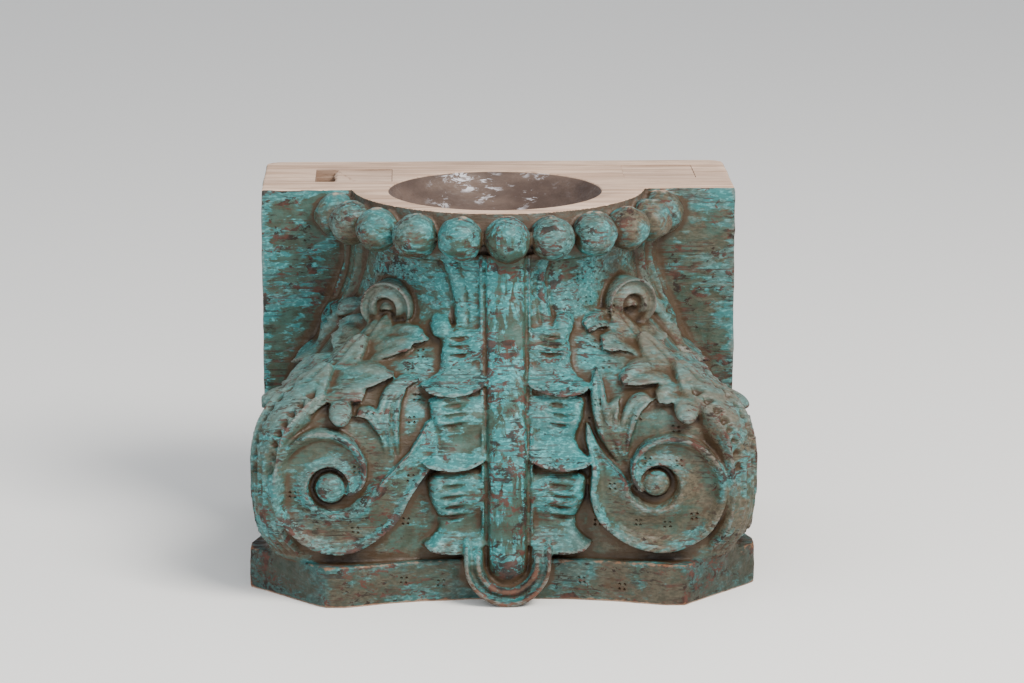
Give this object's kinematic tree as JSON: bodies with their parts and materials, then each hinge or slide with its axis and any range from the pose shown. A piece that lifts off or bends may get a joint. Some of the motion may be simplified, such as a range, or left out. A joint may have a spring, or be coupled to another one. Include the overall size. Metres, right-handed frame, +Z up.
{
  "type": "carved wooden half capital",
  "caption": "Carved and painted wooden half capital stood upside down, with scrolls, leaves and a bead row, and a shallow bowl turned into its top.",
  "frame": {"origin": "on the floor, under the middle of the part's bounding box", "axes": "+Z up, away from the abacus it stands on; +X along the slab's width; the carved front faces -Y"},
  "size_m": [0.386, 0.306, 0.285],
  "materials": {
    "painted_wood": "worn matt paint over old timber, raw wood on top",
    "plug_wood": "sanded raw wood"
  },
  "bodies": {
    "root": {"capital_block": "painted_wood", "mortise_plug_left": "plug_wood", "mortise_plug_right": "plug_wood"}
  },
  "joints": []
}
